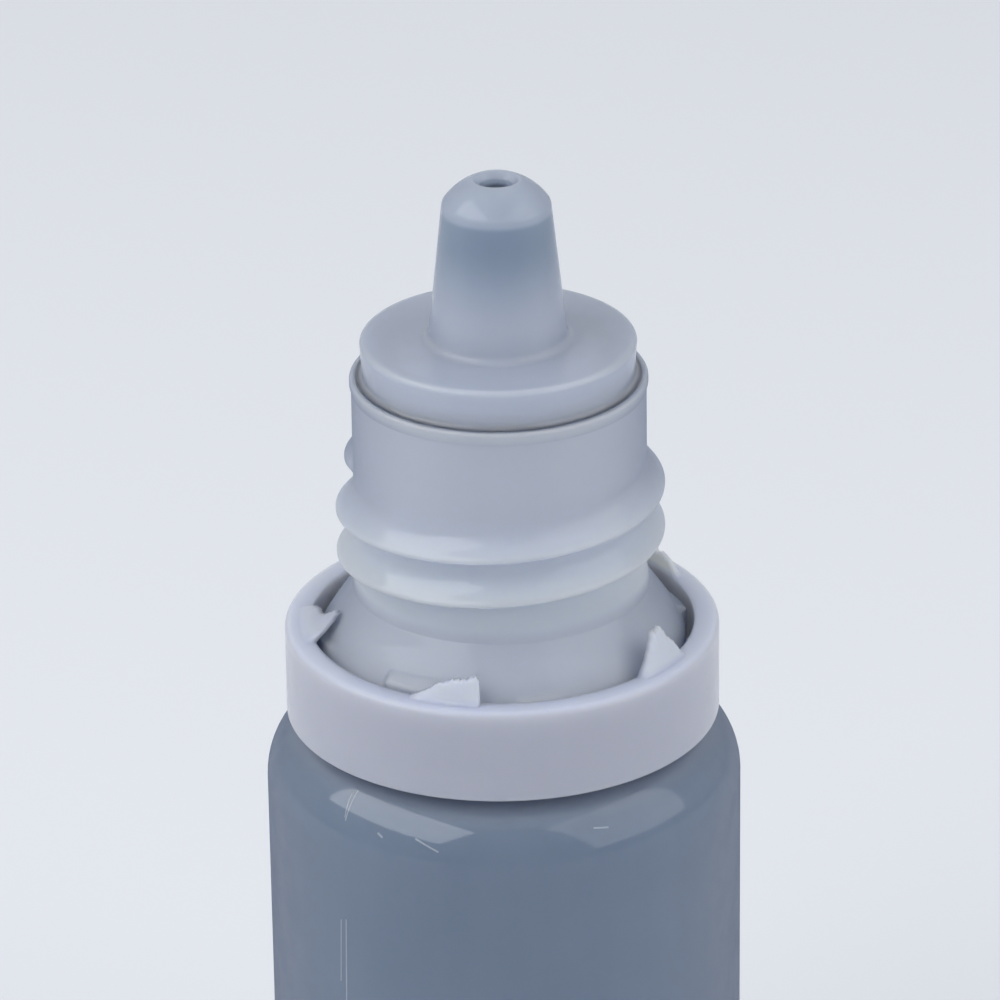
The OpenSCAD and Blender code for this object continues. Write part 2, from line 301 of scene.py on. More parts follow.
ringSizes = {
    "wall": 1.16,
    "height": 4.43,
    "edge": 0.31,               # radius of the outer top edge
    "lowEdge": 0.15,            # radius of the outer lower edge
    "inEdge": 0.15,
    "inCut": 0.06,              # slant of the inner lower edge
    "lipOut": 0.85,             # how far the snap lip stands in from the wall
    "lipTop": 2.14,             # top of the snap lip above the ring's underside
    "lipH": 1.2,
    "lipSlope": 0.5,            # height of the lip's slanted underside
    "lipRoot": 0.05,            # slant where the lip's top meets the wall
    "lipEdge": 0.08,
    "stubWall": 0.5,
    "stubThin": 0.45,           # share of its wall that a torn bridge loses towards its top
    "stubRoot": 0.12,           # ledge beside a bridge, and the height that has its full wall
    "foldLean": 0.1,            # where no bridge stands, its folded rows lean out by this,
    "foldGap": 0.02,            # stand this far apart
    "foldDown": 0.8,            # and go down this share of the inner edge
    "stubLeans": (50.7, 13, 13, 13, 13),     # inwards, in degrees; the first is folded over
    "stubAngle": 181,
    "stubReach": 2.6,           # a bridge's lean holds this far along the ring from its middle
    "columns": 720,
}
# Torn bridges: place along the ring and height over it
tornBridges = [
    [(-1.6, 0), (-1.1, 0.24), (-0.4, 0.44), (0.4, 0.52), (0.95, 0.7), (1.35, 1.04), (1.62, 1.08),
     (1.95, 0.84), (2.2, 0.46), (2.3, 0)],
    [(-1.7, 0), (-1.15, 0.28), (-0.7, 0.52), (-0.42, 0.76), (0, 0.88), (0.3, 1.02), (1.05, 1.08),
     (1.2, 1.2), (1.42, 1.2), (1.56, 1.04), (1.6, 0)],
    [(-1.82, 0), (-1.37, 0.46), (-0.8, 1.26), (-0.56, 1.78), (-0.43, 1.6), (-0.26, 1.72),
     (0.03, 1.8), (0.2, 1.56), (0.34, 1.22), (0.8, 0.84), (1.07, 0.44), (1.37, 0)],
    [(-1.9, 0), (-1.5, 0.8), (-0.9, 1), (-0.5, 0.85), (0.2, 1.5), (0.9, 1.1), (1.3, 0.4), (1.8, 0)],
    [(-2.1, 0), (-1.7, 0.5), (-0.8, 0.6), (0.1, 1.2), (0.6, 0.9), (1.2, 1.3), (1.6, 0.7), (1.9, 0)],
]
# The torn edge's fine raggedness: share of the height, waves per mm along the ring (in radians),
# and how far each bridge's waves are shifted from the last one's
raggedWaves = [(0.035, 23, 1), (0.02, 41, 2)]


def bridgeShape(angles, inR):
    # Height of the torn bridges over the ring at each angle, and how far they lean inwards there
    # for each mm of height. A height is read off the bridge's own outline and multiplied by
    # 1 + the sum of the ragged waves, share x sine of (waves x place + shift).
    height, lean = np.zeros(len(angles)), np.zeros(len(angles))
    for i, bridge in enumerate(tornBridges):
        middle = math.radians(ringSizes["stubAngle"] + 360 * i / len(tornBridges))
        along = (np.mod(angles - middle + math.pi, 2 * math.pi) - math.pi) * inR
        place, high = np.array(bridge).T
        ragged = 1
        for share, waves, shift in raggedWaves:
            ragged = ragged + share * np.sin(along * waves + shift * i)
        height = np.maximum(height, np.interp(along, place, high, 0, 0) * ragged)
        stubLean = math.tan(math.radians(ringSizes["stubLeans"][i]))
        lean = np.where(np.abs(along) < ringSizes["stubReach"], stubLean, lean)
    return height, lean


def makeRing():
    # The outline runs from the inner lower edge round the outside to the top, up and down the
    # torn bridges, and down the inner wall over the snap lip.
    s = ringSizes
    inR, low, top = ringOutR - s["wall"], ringLowZ, ringLowZ + s["height"]
    lipTop = low + s["lipTop"]
    lipLow = lipTop - s["lipH"]
    lipR = inR - s["lipOut"]
    angles = evenTurn(s["columns"])
    outer = allRound(through(
        (inR + s["inCut"], low), (ringOutR - s["lowEdge"], low, 4),
        arc(ringOutR - s["lowEdge"], low + s["lowEdge"], s["lowEdge"], -90, 0, 5),
        (ringOutR, top - s["edge"], 12),
        arc(ringOutR - s["edge"], top - s["edge"], s["edge"], 0, 90, 9),
        (inR + s["stubWall"] + s["stubRoot"], top, 3),
    ), angles)
    inner = allRound(through(
        (inR, top - s["inEdge"] - s["lipRoot"]), (inR, lipTop + s["lipRoot"], 6),
        (inR - s["lipRoot"], lipTop, 1),
        (lipR + s["lipEdge"], lipTop, 3), (lipR, lipTop - s["lipEdge"], 1),
        (lipR, lipLow + s["lipSlope"], 3), (inR, lipLow, 4), (inR, low + s["inCut"], 4),
    ), angles)
    # Outer face of a bridge: inner wall - lean x height + what is left of the stub's wall, with
    # height the bridge's x share. Inner face: inner wall - lean x height, from the top down.
    # Where no bridge stands, the same rows lie folded into the ring's inner top edge.
    stub, lean = bridgeShape(angles, inR)
    share = np.linspace(0, 1, 7)[:, None]
    stands = smoothStep(stub / s["stubRoot"])[None]
    flat = 1 - stands
    outR = (inR - lean * stub * share + s["stubWall"] * (1 - s["stubThin"] * share) * stands
            + flat * (s["inEdge"] + s["stubRoot"] - s["foldLean"] * share))
    outZ = top + stub * share
    downShare = share[::-1]
    backR = inR - lean * stub * downShare + flat * s["foldGap"] * downShare
    backZ = top + stub * downShare - flat * s["foldDown"] * s["inEdge"] * share
    r = np.concatenate([outer[0], outR, backR, inner[0]])
    z = np.concatenate([outer[1], outZ, backZ, inner[1]])
    return turned("tamperRing", r, z, angles)


insertSizes = {
    "flangeR": 6.28,
    "flangeH": 1.82,
    "taper": 0.08,
    "foot": 0.25,               # radius of the fillet where the flange meets the rim
    "footRow": 0.01,            # a row this far inside its edge, which keeps the edge sharp
    "edge": 0.25,
    "sideCut": (0.02, 0.05),    # the flange's side ends this far in and under its top round
    "plugR": 5.47,
    "plugLead": (0.25, 0.5),    # slant at the plug's lower end: inwards and upwards
    "plugEdge": 0.05,           # first row over the plug's inner lower edge
    "ribR": 5.61,
    "ribHalf": 0.5,             # half of a sealing rib's height
    "ribPlaces": (0.7, 0.3),    # shares of the plug's length under the rim
    "ribFull": 1.4,             # a rib's cosine, before it is held at 1
    "plugWall": 0.85,
    "plugL": 5.0,
    "web": 1.1,                 # thickness of the flange over the plug's hollow
    "webRound": 0.4,
    "nozzleBase": 3.12,
    "nozzleTip": 2.46,
    "nozzleH": 6.54,
    "coneCut": (0.012, 0.1),    # the cone ends this far out and under the dome's foot
    "domeH": 1.33,
    "domeCut": (1.2, 0.6),      # degrees left out at the dome's foot and at the mouth
    "fillet": 0.4,
    "nozzleWall": 0.75,
    "hollowDrop": 1.2,          # the nozzle's hollow narrows from this far under its cone's top
    "hollowDome": 0.9,
    "channelR": 0.35,
    "mouthR": 0.73,
    "mouthLip": 0.3,            # width of the sunk lip round the mouth
    "mouthSink": 0.28,
    "mouthDepth": 0.45,
    "mouthEdge": 0.03,
    "mouthRise": 0.01,
    "columns": 180,
}


def makeInsert():
    # The outline runs from the plug's inner lower edge up its outside over two ribs, round the
    # flange, up the nozzle, over the dome into the mouth, and down the hollow. The dome's radius
    # is (tip radius squared + its height squared) / twice its height, and a rib stands out by
    # the cosine of its height's share, held at 1.
    s = insertSizes
    flangeZ = rimZ + s["flangeH"]
    coneZ = flangeZ + s["nozzleH"]
    domeR = (s["nozzleTip"] ** 2 + s["domeH"] ** 2) / (2 * s["domeH"])
    domeZ = coneZ + s["domeH"] - domeR
    lipR = s["mouthR"] + s["mouthLip"]
    mouthZ = domeZ + math.sqrt(domeR ** 2 - lipR ** 2) - s["mouthSink"]
    mouthLowZ = mouthZ - s["mouthDepth"]
    inR = s["plugR"] - s["plugWall"]
    webZ = flangeZ - s["web"]
    hollowR = s["nozzleTip"] - s["nozzleWall"] - s["channelR"]
    hollowZ = coneZ - s["hollowDrop"]
    quarter = np.radians(np.linspace(0, 90, 10))
    hollowDome = np.stack([s["channelR"] + hollowR * np.sin(quarter),
                           hollowZ + s["hollowDome"] * np.cos(quarter)], 1)
    ribs = []
    for place in s["ribPlaces"]:
        over = np.linspace(-s["ribHalf"], s["ribHalf"], 9)
        out = np.clip(s["ribFull"] * np.cos(over / s["ribHalf"] * math.pi / 2), 0, 1)
        ribs.append(np.stack([s["plugR"] + (s["ribR"] - s["plugR"]) * out,
                              rimZ - place * s["plugL"] + over], 1))
    tipAngle = math.degrees(math.acos(s["nozzleTip"] / domeR))
    mouthAngle = math.degrees(math.acos(lipR / domeR))
    # The foot's thin edge has a row close by on both sides, so that only the edge is shaded as one
    footAngles = np.radians(np.r_[-82, -79, np.linspace(-72, -176, 9)])
    footArc = np.stack([s["flangeR"] - s["taper"] + s["foot"] * (1 + np.cos(footAngles)),
                        rimZ + s["foot"] * (1 + np.sin(footAngles))], 1)
    footR = footArc[0, 0]
    leadIn, leadUp = s["plugLead"]
    sideIn, sideDown = s["sideCut"]
    coneOut, coneDown = s["coneCut"]
    domeLow, domeHigh = s["domeCut"]
    edge, fillet, mouthEdge = s["edge"], s["fillet"], s["mouthEdge"]
    outline = through(
        (inR, plugLowZ), (s["plugR"] - leadIn, plugLowZ, 3), (s["plugR"], plugLowZ + leadUp, 3),
        *ribs, (s["plugR"], rimZ, 4), (footR - s["footRow"], rimZ, 4), (footR, rimZ, 1),
        footArc,
        (s["flangeR"] - sideIn, flangeZ - edge - sideDown, 8),
        arc(s["flangeR"] - edge, flangeZ - edge, edge, 8, 90, 6),
        (s["nozzleBase"] + fillet, flangeZ, 14),
        arc(s["nozzleBase"] + fillet, flangeZ + fillet, fillet, -90, -174, 9),
        (s["nozzleTip"] + coneOut, coneZ - coneDown, 34),
        arc(0, domeZ, domeR, tipAngle + domeLow, mouthAngle - domeHigh, 20),
        (s["mouthR"] + mouthEdge, mouthZ + s["mouthRise"], 3),
        (s["mouthR"], mouthZ - mouthEdge, 1),
        (s["mouthR"], mouthLowZ + mouthEdge, 5), (s["mouthR"] - mouthEdge, mouthLowZ, 1),
        (s["channelR"], mouthLowZ, 3), (s["channelR"], hollowZ + s["hollowDome"], 5), hollowDome,
        (s["nozzleBase"] - s["nozzleWall"], webZ, 20), (inR - s["webRound"], webZ, 4),
        (inR, webZ - s["webRound"], 3), (inR, plugLowZ + s["plugEdge"], 8),
    )
    angles = evenTurn(s["columns"])
    r, z = allRound(outline, angles)
    return turned("dropperInsert", r, z, angles)


bottle = makeBottle()
ring = makeRing()
insert = makeInsert()
for piece in (bottle, ring, insert):
    piece.data.calc_loop_triangles()
    print("made", piece.name, "with", len(piece.data.loop_triangles), "triangles")


# Materials: each piece has its own, with two node groups that the three share


class nodeKit:
    # one tree of shader nodes: the calls below add nodes to it and join them
    def __init__(self, tree):
        self.tree = tree

    def add(self, kind, **settings):
        # a new node with its settings
        node = self.tree.nodes.new(kind)
        for key, value in settings.items():
            setattr(node, key, value)
        return node

    def join(self, out, into):
        # a link from one socket to another
        self.tree.links.new(out, into)

    def feed(self, value, into):
        # a link where value is a socket, else the value itself
        if isinstance(value, bpy.types.NodeSocket):
            self.join(value, into)
        else:
            into.default_value = value

    def math(self, what, a, b):
        # a and b joined by the operation named what
        node = self.add("ShaderNodeMath", operation=what)
        self.feed(a, node.inputs[0])
        self.feed(b, node.inputs[1])
        return node.outputs[0]

    def ramp(self, value, low, high, toLow=0.0, toHigh=1.0):
        # toLow under low, toHigh over high, and smoothly from one to the other between them
        node = self.add("ShaderNodeMapRange", interpolation_type="SMOOTHSTEP")
        self.join(value, node.inputs["Value"])
        ends = ("From Min", low), ("From Max", high), ("To Min", toLow), ("To Max", toHigh)
        for key, v in ends:
            self.feed(v, node.inputs[key])
        return node.outputs["Result"]

    def clamp(self, value):
        # the value held between 0 and 1
        node = self.add("ShaderNodeClamp")
        self.join(value, node.inputs["Value"])
        return node.outputs[0]

    def mix(self, share, a, b, blend="MIX"):
        # colour a x (1 - share) + colour b x share, or a blended with b
        node = self.add("ShaderNodeMix", data_type="RGBA", blend_type=blend)
        for i, v in ((0, share), (6, a), (7, b)):
            self.feed(v, node.inputs[i])
        return node.outputs[2]

    def noise(self, vector, scale, detail=2.0, rough=0.5, stretch=None):
        # cloud noise of 0 to 1 with scale cells to a metre, stretched where asked for
        if stretch:
            mapping = self.add("ShaderNodeMapping")
            mapping.inputs["Scale"].default_value = stretch
            self.join(vector, mapping.inputs["Vector"])
            vector = mapping.outputs[0]
        node = self.add("ShaderNodeTexNoise")
        node.inputs["Scale"].default_value = scale
        node.inputs["Detail"].default_value = detail
        node.inputs["Roughness"].default_value = rough
        self.join(vector, node.inputs["Vector"])
        return node.outputs["Fac"]

    def place(self):
        # the point on the piece, in metres in the object's own frame
        return self.add("ShaderNodeTexCoord").outputs["Object"]

    def split(self):
        # that point's X, Y and Z
        node = self.add("ShaderNodeSeparateXYZ")
        self.join(self.place(), node.inputs[0])
        return node.outputs


def socket(group, name, kind, where, value=None):
    # a named input or output of a node group, with its value where none is given
    s = group.interface.new_socket(name=name, in_out=where, socket_type=kind)
    if value is not None:
        s.default_value = value


def linear(r, g, b):
    # A colour written as screen values of 0 to 255, made linear: v / 12.92 for the darkest, else
    # ((v + 0.055) / 1.055) to the power 2.4
    c = np.array([r, g, b]) / 255
    c = np.where(c <= 0.04045, c / 12.92, ((c + 0.055) / 1.055) ** 2.4)
    return (*map(float, c), 1.0)


# What the plastics share: the skin, what polish and marks add to it, and the noises' cells to
# a metre
plasticLook = {
    "bend": 1.5,                        # refractive index
    "shine": 0.15,
    "skinRough": 0.07,
    "polishRough": 0.08,
    "markRough": 0.2,
    "markDepth": 3.0,                   # in heights of the grain
    "edgeShadeFrom": 0.2,                    # how far edge on the painted edge shade starts
    "skinFrom": 0.35,                   # and how far edge on the body's gloss begins to go
    "cloud": 220,
    "streak": 900,
    "streakStretch": (1, 1, 0.06),      # streaks of flow run along the axis
    "grain": 8000,
    "ripple": 420,
    "polish": 700,
    "polishRange": (0.35, 0.7),         # the part of its noise that is widened
}


def makeCloudyPlastic():
    # Cloudy plastic: thin's colour x (1 - share) + thick's x share, where the share given drifts
    # by cloud x (twice a soft noise + a streaky one, both taken from their middle)
    p = plasticLook
    group = bpy.data.node_groups.new("cloudyPlastic", "ShaderNodeTree")
    socket(group, "Thin", "NodeSocketColor", "INPUT", (0.3, 0.35, 0.4, 1))
    socket(group, "Thick", "NodeSocketColor", "INPUT", (0.5, 0.52, 0.56, 1))
    socket(group, "Share", "NodeSocketFloat", "INPUT", 0.5)
    socket(group, "Cloud", "NodeSocketFloat", "INPUT", 0.06)
    socket(group, "Color", "NodeSocketColor", "OUTPUT")
    n = nodeKit(group)
    given, out = n.add("NodeGroupInput"), n.add("NodeGroupOutput")
    place = n.place()
    cloud = n.noise(place, p["cloud"], detail=3.0, rough=0.55)
    streak = n.noise(place, p["streak"], stretch=p["streakStretch"])
    drift = n.math("ADD", n.math("MULTIPLY", n.math("SUBTRACT", cloud, 0.5), 2.0),
                   n.math("SUBTRACT", streak, 0.5))
    share = n.math("ADD", given.outputs["Share"],
                   n.math("MULTIPLY", drift, given.outputs["Cloud"]))
    color = n.mix(n.clamp(share), given.outputs["Thin"], given.outputs["Thick"])
    n.join(color, out.inputs["Color"])
    return group


def makeMouldGrain():
    # Moulded surface: its height is grain x a fine noise + ripple x a soft one, and its polish a
    # third noise, widened to run from 0 to 1
    p = plasticLook
    group = bpy.data.node_groups.new("mouldGrain", "ShaderNodeTree")
    socket(group, "Grain", "NodeSocketFloat", "INPUT", 0.3)
    socket(group, "Ripple", "NodeSocketFloat", "INPUT", 1.0)
    socket(group, "Height", "NodeSocketFloat", "OUTPUT")
    socket(group, "Polish", "NodeSocketFloat", "OUTPUT")
    n = nodeKit(group)
    given, out = n.add("NodeGroupInput"), n.add("NodeGroupOutput")
    place = n.place()
    grain = n.math("MULTIPLY", n.noise(place, p["grain"], rough=0.6), given.outputs["Grain"])
    ripple = n.math("MULTIPLY", n.noise(place, p["ripple"]), given.outputs["Ripple"])
    n.join(n.math("ADD", grain, ripple), out.inputs["Height"])
    polish = n.noise(place, p["polish"], detail=3.0, rough=0.6)
    n.join(n.ramp(polish, *p["polishRange"]), out.inputs["Polish"])
    return group


cloudyPlastic = makeCloudyPlastic()
mouldGrain = makeMouldGrain()


def startMaterial(name):
    # a new material, the nodes in it and its Principled shader
    material = bpy.data.materials.new(name)
    material.use_nodes = True
    return material, nodeKit(material.node_tree), material.node_tree.nodes["Principled BSDF"]


def addGrain(n, shader, finish, marks=None):
    # Roughness: the finish's + polishRough x the polish + markRough x the marks. Bump: the mould
    # grain's height - markDepth x the marks, times the finish's bump.
    surface = n.add("ShaderNodeGroup", node_tree=mouldGrain)
    surface.inputs["Grain"].default_value = finish["grain"]
    surface.inputs["Ripple"].default_value = finish["ripple"]
    uneven = n.math("MULTIPLY", surface.outputs["Polish"], plasticLook["polishRough"])
    height = surface.outputs["Height"]
    if marks is not None:
        uneven = n.math("ADD", uneven, n.math("MULTIPLY", marks, plasticLook["markRough"]))
        height = n.math("SUBTRACT", height, n.math("MULTIPLY", marks, plasticLook["markDepth"]))
    n.join(n.math("ADD", finish["rough"], uneven), shader.inputs["Roughness"])
    bump = n.add("ShaderNodeBump")
    bump.inputs["Distance"].default_value = finish["bump"] * mm
    n.join(height, bump.inputs["Height"])
    n.join(bump.outputs["Normal"], shader.inputs["Normal"])


def setPlastic(shader, finish):
    # Values that are the same all over: through is the share of light that passes, softness how
    # far light spreads inside in mm, spread that distance's share for red, green and blue, and
    # gloss the weight of a thin clear skin
    shader.inputs["IOR"].default_value = plasticLook["bend"]
    shader.inputs["Specular IOR Level"].default_value = plasticLook["shine"]
    shader.inputs["Transmission Weight"].default_value = finish["through"]
    shader.inputs["Subsurface Weight"].default_value = 1.0
    shader.inputs["Subsurface Radius"].default_value = finish["spread"]
    shader.inputs["Subsurface Scale"].default_value = finish["softness"] * mm
    shader.inputs["Coat Weight"].default_value = finish["gloss"]
    shader.inputs["Coat Roughness"].default_value = plasticLook["skinRough"]


def cloudyColor(n, finish, thin, thick, share):
    # the cloudy plastic's colour between the finish's two named colours
    tint = n.add("ShaderNodeGroup", node_tree=cloudyPlastic)
    tint.inputs["Thin"].default_value = finish[thin]
    tint.inputs["Thick"].default_value = finish[thick]
    tint.inputs["Cloud"].default_value = finish["cloud"]
    n.feed(share, tint.inputs["Share"])
    return tint.outputs["Color"]


def seenEdgeOn(n, start):
    # 0 where the surface faces the eye, rising from start to 1 where it is seen edge on
    return n.ramp(n.add("ShaderNodeLayerWeight").outputs["Facing"], start, 1.0)


def edgeShade(n, color, edge):
    # painted shade: the colour x (1 - edge-on share) + the colour x edge x that share
    share = seenEdgeOn(n, plasticLook["edgeShadeFrom"])
    return n.mix(share, color, n.mix(1.0, color, edge, "MULTIPLY"))


bottleFinish = {
    "thin": linear(122, 143, 169),      # one thin wall: the body
    "thick": linear(214, 220, 232),     # the neck, with the plug behind it
    "paintedLight": linear(227, 235, 248),       # painted light: a paler colour between the thread's turns, where their shade falls
    "scratch": linear(236, 241, 248),
    "scratchShare": 0.6,
    "scratchCore": 0.3,                 # share of its width where a scratch is full
    "rough": 0.5,
    "grain": 0.1,
    "ripple": 1.0,
    "bump": 0.02,
    "cloud": 0.05,
    "through": 0.5,
    "softness": 1.2,
    "spread": (1.0, 1.05, 1.15),
    "gloss": 1.0,                       # on the body
    "beadGloss": 0.35,
    "beadGlossAt": (0, 3),              # heights over the shoulder from one to the other
    "neckGloss": 0.7,
    "neckGlossAt": (-0.5, 0.5),         # heights over the flare from one to the other
    "edge": (0.42, 0.47, 0.57, 1),      # painted shade: how dark the colour is painted where the plastic is seen edge on
    "thickAndPaintedLightFrom": (-1.1, 0.8),           # heights over the shoulder where thin turns to thick: the neck's thicker plastic, and painted light under the ring
    "bodyShare": 0.05,                  # of the thick colour, on the body
    "paintedLightHeights": (0, 0.7, 2.0, 6.5),   # over the flare: where the painted light starts, is full, fades and ends
}
# Scratches: two ends as turn from the front in degrees and height in mm, then the width in mm
scratches = [
    (-43.3, 34.81, -42.7, 33.73, 0.05),
    (-44.5, 34.69, -43.2, 33.83, 0.04),
    (-22.2, 33.78, -16.3, 33.39, 0.06),
    (-32.4, 33.66, -31.2, 33.55, 0.07),
    (22.7, 34.10, 26.4, 34.01, 0.05),
    (-43.2, 28.70, -43.8, 25.50, 0.04),
    (-41.6, 28.80, -42.3, 22.50, 0.045),
    (96.0, 31.5, 99.0, 30.1, 0.05),
    (168.0, 27.0, 171.5, 27.8, 0.05),
    (-131.0, 17.0, -129.0, 13.5, 0.05),
]


def scratchMask(n):
    # The bottle's side is unrolled to turn x radius and height, in mm. A scratch is where the
    # distance to the line between its ends is under its width: from the start, the nearest point
    # of that line lies at the way x the share of it that the point's own way covers.
    point = n.split()
    turn = n.math("ARCTAN2", point["X"], n.math("MULTIPLY", point["Y"], -1.0))
    sheet = n.add("ShaderNodeCombineXYZ")
    n.join(n.math("MULTIPLY", turn, bodyR), sheet.inputs["X"])
    n.join(n.math("DIVIDE", point["Z"], mm), sheet.inputs["Z"])
    mask = None
    for turn0, z0, turn1, z1, width in scratches:
        start = Vector((math.radians(turn0) * bodyR, 0, z0))
        way = Vector((math.radians(turn1) * bodyR, 0, z1)) - start
        fromStart = n.add("ShaderNodeVectorMath", operation="SUBTRACT")
        n.join(sheet.outputs[0], fromStart.inputs[0])
        fromStart.inputs[1].default_value = start
        covered = n.add("ShaderNodeVectorMath", operation="DOT_PRODUCT")
        n.join(fromStart.outputs[0], covered.inputs[0])
        covered.inputs[1].default_value = way / way.length_squared
        nearest = n.add("ShaderNodeVectorMath", operation="SCALE")
        nearest.inputs[0].default_value = way
        n.join(n.clamp(covered.outputs["Value"]), nearest.inputs["Scale"])
        gap = n.add("ShaderNodeVectorMath", operation="DISTANCE")
        n.join(fromStart.outputs[0], gap.inputs[0])
        n.join(nearest.outputs[0], gap.inputs[1])
        core = width * bottleFinish["scratchCore"]
        stroke = n.ramp(gap.outputs["Value"], core, width, 1.0, 0.0)
        mask = stroke if mask is None else n.math("MAXIMUM", mask, stroke)
    return mask


def bottleMaterial():
    # Thin colour on the body and thick on the neck, with painted shade where seen edge on,
    # painted light between the thread's turns and pale scratches. The gloss is the body's, the
    # bead's or the neck's by height, times 1 - the edge-on share.
    f = bottleFinish
    material, n, shader = startMaterial("milkyBottle")
    high = n.split()["Z"]
    shoulderZ = (rimZ - bottleSizes["shoulderDrop"]) * mm
    rises = (bottleSizes[k] for k in ("grooveH", "beadSlope", "beadH", "flareH"))
    flareZ = shoulderZ + sum(rises) * mm
    thinZ, thickZ = (shoulderZ + up * mm for up in f["thickAndPaintedLightFrom"])
    paintedLightZ, fullZ, fadeZ, endZ = (flareZ + up * mm for up in f["paintedLightHeights"])
    scratch = scratchMask(n)
    # the thick colour starts under the shoulder: partly the neck's thicker plastic, partly painted
    # light over the ring's shadow
    share = n.ramp(high, thinZ, thickZ, f["bodyShare"], 1.0)
    # painted shade darkens the colour where the bottle is seen edge on
    color = edgeShade(n, cloudyColor(n, f, "thin", "thick", share), f["edge"])
    # painted light: the paler colour laid between the thread's turns, where their shade falls
    paintedLight = n.math("MULTIPLY", n.ramp(high, paintedLightZ, fullZ), n.ramp(high, fadeZ, endZ, 1.0, 0.0))
    color = n.mix(paintedLight, color, f["paintedLight"])
    color = n.mix(n.math("MULTIPLY", scratch, f["scratchShare"]), color, f["scratch"])
    n.join(color, shader.inputs["Base Color"])
    addGrain(n, shader, f, scratch)
    setPlastic(shader, f)
    beadAt = (shoulderZ + up * mm for up in f["beadGlossAt"])
    onBead = n.ramp(high, *beadAt, f["gloss"], f["beadGloss"])
    neckAt = (flareZ + up * mm for up in f["neckGlossAt"])
    onNeck = n.ramp(high, *neckAt, 0.0, f["neckGloss"] - f["beadGloss"])
    facing = n.math("SUBTRACT", 1.0, seenEdgeOn(n, plasticLook["skinFrom"]))
    n.join(n.math("MULTIPLY", n.math("ADD", onBead, onNeck), facing), shader.inputs["Coat Weight"])
    return material


ringFinish = {
    "shade": linear(184, 187, 201),
    "light": linear(192, 195, 209),
    "top": linear(210, 218, 240),       # painted light: the top face painted paler, as light from above makes it
    "torn": linear(228, 238, 253),      # stretched white where the bridges tore
    "paintedTopLightFrom": (-0.2, 0.1),             # heights over the ring's top where that painted light starts
    "tornFrom": (0.05, 0.35),
    "rough": 0.4,
    "grain": 0.12,
    "ripple": 0.6,
    "bump": 0.02,
    "cloud": 0.3,
    "through": 0.25,
    "softness": 2.5,
    "spread": (1.0, 0.95, 0.7),         # blue stays nearest, so that the thin bridges keep it
    "gloss": 0.5,
}


def ringMaterial():
    # Cloudy white, with painted light on the top face and then the torn bridges' white laid
    # over it by height
    f = ringFinish
    material, n, shader = startMaterial("whiteRing")
    topZ = (ringLowZ + ringSizes["height"]) * mm
    high = n.split()["Z"]
    # top is the share of painted light on the top face, torn that of the torn bridges' white
    top, torn = (n.ramp(high, *(topZ + up * mm for up in f[k])) for k in ("paintedTopLightFrom", "tornFrom"))
    color = n.mix(top, cloudyColor(n, f, "shade", "light", 0.5), f["top"])
    n.join(n.mix(torn, color, f["torn"]), shader.inputs["Base Color"])
    addGrain(n, shader, f)
    setPlastic(shader, f)
    return material


insertFinish = {
    "thin": linear(152, 170, 191),
    "thick": linear(209, 216, 229),
    # painted shade: dark colour inside the drop's mouth, where shade falls
    "mouth": linear(92, 106, 126),
    # painted shade: how dark the colour is painted where the insert is seen edge on
    "edge": (0.7, 0.74, 0.82, 1),
    "wallFrom": 1.2,                    # the nozzle's wall thins from this far over the flange
    "wallShare": 0.05,                  # of the thick colour, where it is thinnest
    "domeShare": 0.62,                  # how thick the solid dome looks
    "domeFrom": (-0.5, -0.2),           # heights over the cone's top where that starts
    "mouthFrom": (0.9, 0.4),            # shares of the mouth's depth: painted shade under the first
    "mouthWall": (1.0, 1.02),           # shares of its radius: painted shade inside the first
    "rough": 0.48,
    "grain": 0.06,
    "ripple": 1.0,
    "bump": 0.015,
    "cloud": 0.04,
    "through": 0.5,
    "softness": 1.2,
    "spread": (1.0, 1.05, 1.15),
    "gloss": 0.6,
}


def insertMaterial():
    # Thick colour on the flange, thinning up the nozzle's wall and thicker again in its solid
    # dome, with painted shade where it is seen edge on. The drop's mouth gets painted shade where
    # a point is deep in it and nearer to the axis than its wall.
    f, s = insertFinish, insertSizes
    material, n, shader = startMaterial("milkyInsert")
    high = n.split()["Z"]
    flangeZ = (rimZ + s["flangeH"]) * mm
    coneZ = flangeZ + s["nozzleH"] * mm
    wallZ, hollowZ = flangeZ + f["wallFrom"] * mm, coneZ - s["hollowDrop"] * mm
    wall = n.ramp(high, wallZ, hollowZ, 1.0, f["wallShare"])
    domeLow, domeHigh = (coneZ + up * mm for up in f["domeFrom"])
    dome = n.ramp(high, domeLow, domeHigh, 0.0, f["domeShare"])
    share = n.math("ADD", wall, dome)
    # painted shade darkens the colour where the insert is seen edge on
    color = edgeShade(n, cloudyColor(n, f, "thin", "thick", share), f["edge"])
    flat = n.add("ShaderNodeVectorMath", operation="MULTIPLY")
    n.join(n.place(), flat.inputs[0])
    flat.inputs[1].default_value = (1, 1, 0)
    fromAxis = n.add("ShaderNodeVectorMath", operation="LENGTH")
    n.join(flat.outputs[0], fromAxis.inputs[0])
    mouthR, depth = s["mouthR"] * mm, s["mouthDepth"] * mm
    mouthZ = (tipZ - s["mouthSink"]) * mm
    darkZ, paleZ = (mouthZ - share * depth for share in f["mouthFrom"])
    mouthShadeMask = n.ramp(high, darkZ, paleZ, 1.0, 0.0)
    mouthShadeMask = n.math("MULTIPLY", mouthShadeMask, n.ramp(high, coneZ, coneZ + 0.2 * mm))
    wallAt = (share * mouthR for share in f["mouthWall"])
    within = n.ramp(fromAxis.outputs["Value"], *wallAt, 1.0, 0.0)
    # painted shade: the dark colour laid deep inside the mouth
    color = n.mix(n.math("MULTIPLY", mouthShadeMask, within), color, f["mouth"])
    n.join(color, shader.inputs["Base Color"])
    addGrain(n, shader, f)
    setPlastic(shader, f)
    return material


